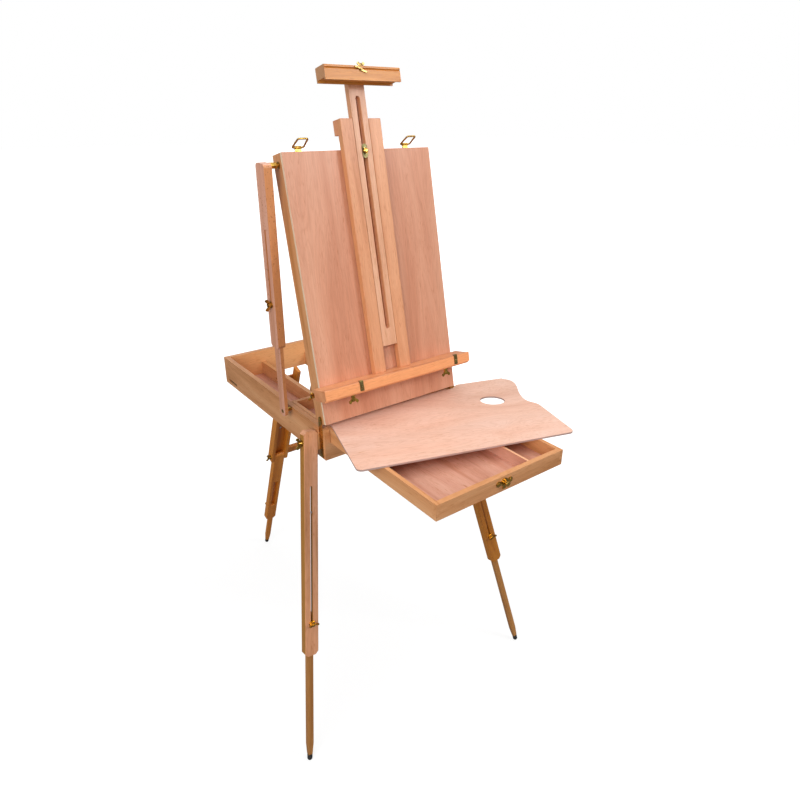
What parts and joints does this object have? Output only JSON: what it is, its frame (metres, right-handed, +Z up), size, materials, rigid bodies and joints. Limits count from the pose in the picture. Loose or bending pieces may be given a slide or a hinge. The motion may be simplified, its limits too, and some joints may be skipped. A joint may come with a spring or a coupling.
{
  "type": "french easel",
  "caption": "Wooden sketch-box easel on telescoping legs, with a drawer, a tilting canvas panel, a sliding canvas carrier and mast, and a palette.",
  "frame": {"origin": "point on the floor below the middle of the box's front face", "axes": "+Z up, +X to the artist's right, +Y from the artist to the back of the box; the drawer pulls out towards -Y"},
  "size_m": [0.7115, 1.1386, 1.5613],
  "materials": {
    "box_beech": "clear varnish over straight-grained beech",
    "carrier_beech": "clear varnish over pale beech",
    "leg_beech": "clear varnish over straight-grained beech",
    "plywood": "satin varnish over red-brown veneer",
    "palette_ply": "satin varnish over pale veneer",
    "brass": "polished brass plating",
    "rubber": "matt black rubber",
    "leather": "dark brown leather"
  },
  "bodies": {
    "box": {"box_front_rail": "box_beech", "box_back_wall": "box_beech", "box_left_wall": "box_beech", "box_right_wall": "box_beech", "box_floor_panels": "plywood", "drawer_runners": "box_beech", "hinge_plates": "brass", "box_fixings": "brass", "back_wall_hardware": "brass", "leg_wedges": "box_beech"},
    "handle": {"carrying_handle": "leather"},
    "drawer": {"drawer_front": "box_beech", "drawer_sides": "box_beech", "drawer_back": "box_beech", "drawer_floor": "plywood", "drawer_divider": "box_beech", "drawer_catch_plate": "brass"},
    "drawer_catch": {"drawer_catch_knob": "brass"},
    "palette": {"palette": "palette_ply"},
    "lid": {"lid_panel": "plywood", "lid_sides": "box_beech", "lid_end_bars": "box_beech", "lid_fixings": "brass", "mast_clamp_plate": "brass"},
    "mast_clamp": {"mast_clamp_nut": "brass"},
    "lid_side_wing": {"lid_side_wing": "brass"},
    "catch_loop_left": {"catch_loop_left": "brass"},
    "catch_loop_right": {"catch_loop_right": "brass"},
    "carrier": {"carrier_rails": "carrier_beech", "carrier_top_block": "carrier_beech", "canvas_ledge": "carrier_beech", "ledge_clips": "brass"},
    "ledge_wing_left": {"ledge_wing_left": "brass"},
    "ledge_wing_right": {"ledge_wing_right": "brass"},
    "mast": {"mast": "carrier_beech", "head_block": "carrier_beech"},
    "head_hook": {"head_hook": "brass"},
    "head_wing_bolt": {"head_wing_bolt": "brass"},
    "left_arm_bar": {"left_arm_bar": "leg_beech"},
    "left_arm_channel": {"left_arm_channel": "leg_beech"},
    "left_arm_wing": {"left_arm_wing_bolt": "brass"},
    "left_leg_outer": {"left_leg_outer": "leg_beech"},
    "left_leg_inner": {"left_leg_inner": "leg_beech", "left_foot": "rubber"},
    "left_leg_wing": {"left_leg_wing_bolt": "brass"},
    "left_leg_slide_bolt": {"left_leg_slide_bolt": "brass"},
    "right_leg_outer": {"right_leg_outer": "leg_beech"},
    "right_leg_inner": {"right_leg_inner": "leg_beech", "right_foot": "rubber"},
    "right_leg_wing": {"right_leg_wing_bolt": "brass"},
    "right_leg_slide_bolt": {"right_leg_slide_bolt": "brass"},
    "rear_frame": {"rear_leg_frame": "leg_beech"},
    "rear_leg_outer": {"rear_leg_outer": "leg_beech"},
    "rear_leg_inner": {"rear_leg_inner": "leg_beech", "rear_foot": "rubber"},
    "rear_leg_wing": {"rear_leg_wing_bolt": "brass"},
    "rear_leg_slide_bolt": {"rear_leg_slide_bolt": "brass"}
  },
  "joints": [
    {"name": "lid_tilt", "type": "hinge", "parent": "box", "child": "lid", "pos_m": [0, 0.015, 0.857], "axis": [-1, 0, 0], "range_deg": [0, 77.5]},
    {"name": "carrier_slide", "type": "slide", "parent": "lid", "child": "carrier", "axis": [0, 0.2164, 0.9763], "range_m": [-0.027, 0.11]},
    {"name": "mast_slide", "type": "slide", "parent": "carrier", "child": "mast", "axis": [0, 0.2164, 0.9763], "range_m": [-0.05, 0.25]},
    {"name": "mast_clamp_turn", "type": "hinge", "parent": "lid", "child": "mast_clamp", "pos_m": [0, 0.11332, 1.39292], "axis": [0, -0.9763, 0.2164], "continuous": true},
    {"name": "lid_side_wing_turn", "type": "hinge", "parent": "lid", "child": "lid_side_wing", "pos_m": [-0.1845, 0.02712, 0.91167], "axis": [-1, 0, 0], "continuous": true},
    {"name": "ledge_wing_left_turn", "type": "hinge", "parent": "carrier", "child": "ledge_wing_left", "pos_m": [-0.1275, -0.02983, 0.91815], "axis": [0, -0.2164, -0.9763], "continuous": true},
    {"name": "catch_loop_left_swing", "type": "hinge", "parent": "lid", "child": "catch_loop_left", "pos_m": [-0.135, 0.13837, 1.40427], "axis": [1, 0, 0], "range_deg": [-157, 35]},
    {"name": "ledge_wing_right_turn", "type": "hinge", "parent": "carrier", "child": "ledge_wing_right", "pos_m": [0.1335, -0.02983, 0.91815], "axis": [0, -0.2164, -0.9763], "continuous": true},
    {"name": "catch_loop_right_swing", "type": "hinge", "parent": "lid", "child": "catch_loop_right", "pos_m": [0.135, 0.13837, 1.40427], "axis": [1, 0, 0], "range_deg": [-157, 35]},
    {"name": "head_wing_turn", "type": "hinge", "parent": "mast", "child": "head_wing_bolt", "pos_m": [0.004, 0.1114, 1.55058], "axis": [0, 0.2164, 0.9763], "continuous": true},
    {"name": "head_hook_turn", "type": "hinge", "parent": "mast", "child": "head_hook", "pos_m": [-0.0065, 0.0972, 1.54655], "axis": [0, -0.9763, 0.2164], "continuous": true},
    {"name": "drawer_slide", "type": "slide", "parent": "box", "child": "drawer", "axis": [0, 1, 0], "range_m": [-0.1, 0.366]},
    {"name": "drawer_catch_turn", "type": "hinge", "parent": "drawer", "child": "drawer_catch", "pos_m": [0, -0.366, 0.822], "axis": [0, -1, 0], "continuous": true},
    {"name": "palette_slide", "type": "slide", "parent": "box", "child": "palette", "axis": [0, -1, 0], "range_m": [0, 0.2]},
    {"name": "handle_swing", "type": "hinge", "parent": "box", "child": "handle", "pos_m": [0, 0.571, 0.81], "axis": [1, 0, 0], "range_deg": [0, 100]},
    {"name": "left_arm_swing", "type": "hinge", "parent": "box", "child": "left_arm_bar", "pos_m": [-0.20359, 0.15473, 0.82978], "axis": [-0.9992, -0.0316, -0.0254], "range_deg": [-0.5, 89.7]},
    {"name": "left_arm_slide", "type": "slide", "parent": "left_arm_bar", "child": "left_arm_channel", "axis": [-0.0239, -0.0469, 0.9986], "range_m": [-0.1551, 0.001]},
    {"name": "left_arm_wing_turn", "type": "hinge", "parent": "left_arm_bar", "child": "left_arm_wing", "pos_m": [-0.21927, 0.14211, 1.09218], "axis": [-0.9992, -0.0316, -0.0254], "continuous": true},
    {"name": "left_leg_fold", "type": "hinge", "parent": "box", "child": "left_leg_outer", "pos_m": [-0.209, 0.03, 0.8015], "axis": [0.9881, 0, -0.1538], "range_deg": [0, 99.8]},
    {"name": "left_leg_slide", "type": "slide", "parent": "left_leg_outer", "child": "left_leg_inner", "axis": [0.1516, 0.1702, 0.9737], "range_m": [0, 0.27]},
    {"name": "left_leg_wing_turn", "type": "hinge", "parent": "left_leg_outer", "child": "left_leg_wing", "pos_m": [-0.209, 0.03, 0.8015], "axis": [-0.9881, 0, 0.1538], "continuous": true},
    {"name": "left_leg_slide_bolt_turn", "type": "hinge", "parent": "left_leg_inner", "child": "left_leg_slide_bolt", "pos_m": [-0.2757, -0.04489, 0.37308], "axis": [0.0262, -0.9854, 0.1682], "continuous": true},
    {"name": "right_leg_fold", "type": "hinge", "parent": "box", "child": "right_leg_outer", "pos_m": [0.209, 0.03, 0.8015], "axis": [0.9811, 0, 0.1934], "range_deg": [0, 101.9]},
    {"name": "right_leg_slide", "type": "slide", "parent": "right_leg_outer", "child": "right_leg_inner", "axis": [-0.1892, 0.2062, 0.96], "range_m": [0, 0.27]},
    {"name": "right_leg_wing_turn", "type": "hinge", "parent": "right_leg_outer", "child": "right_leg_wing", "pos_m": [0.209, 0.03, 0.8015], "axis": [0.9811, 0, 0.1934], "continuous": true},
    {"name": "right_leg_slide_bolt_turn", "type": "hinge", "parent": "right_leg_inner", "child": "right_leg_slide_bolt", "pos_m": [0.29226, -0.06073, 0.37908], "axis": [-0.0399, -0.9785, 0.2023], "continuous": true},
    {"name": "rear_frame_swing", "type": "hinge", "parent": "box", "child": "rear_frame", "pos_m": [-0.035, 0.455, 0.778], "axis": [-1, 0, 0], "range_deg": [0, 105]},
    {"name": "rear_leg_fold", "type": "hinge", "parent": "rear_frame", "child": "rear_leg_outer", "pos_m": [-0.035, 0.58181, 0.45608], "axis": [-1, 0, 0], "range_deg": [0, 180]},
    {"name": "rear_leg_slide", "type": "slide", "parent": "rear_leg_outer", "child": "rear_leg_inner", "axis": [0, -0.3665, 0.9304], "range_m": [0, 0.12]},
    {"name": "rear_leg_wing_turn", "type": "hinge", "parent": "rear_frame", "child": "rear_leg_wing", "pos_m": [-0.035, 0.58181, 0.45608], "axis": [-1, 0, 0], "continuous": true},
    {"name": "rear_leg_slide_bolt_turn", "type": "hinge", "parent": "rear_leg_inner", "child": "rear_leg_slide_bolt", "pos_m": [-0.035, 0.68406, 0.19649], "axis": [0, 0.9304, 0.3665], "continuous": true}
  ],
  "couplings": [
    {"joint": "left_arm_swing", "follows": "lid_tilt", "ratio": 1.1442},
    {"joint": "left_arm_slide", "follows": "lid_tilt", "m_per_rad": -0.1139}
  ]
}
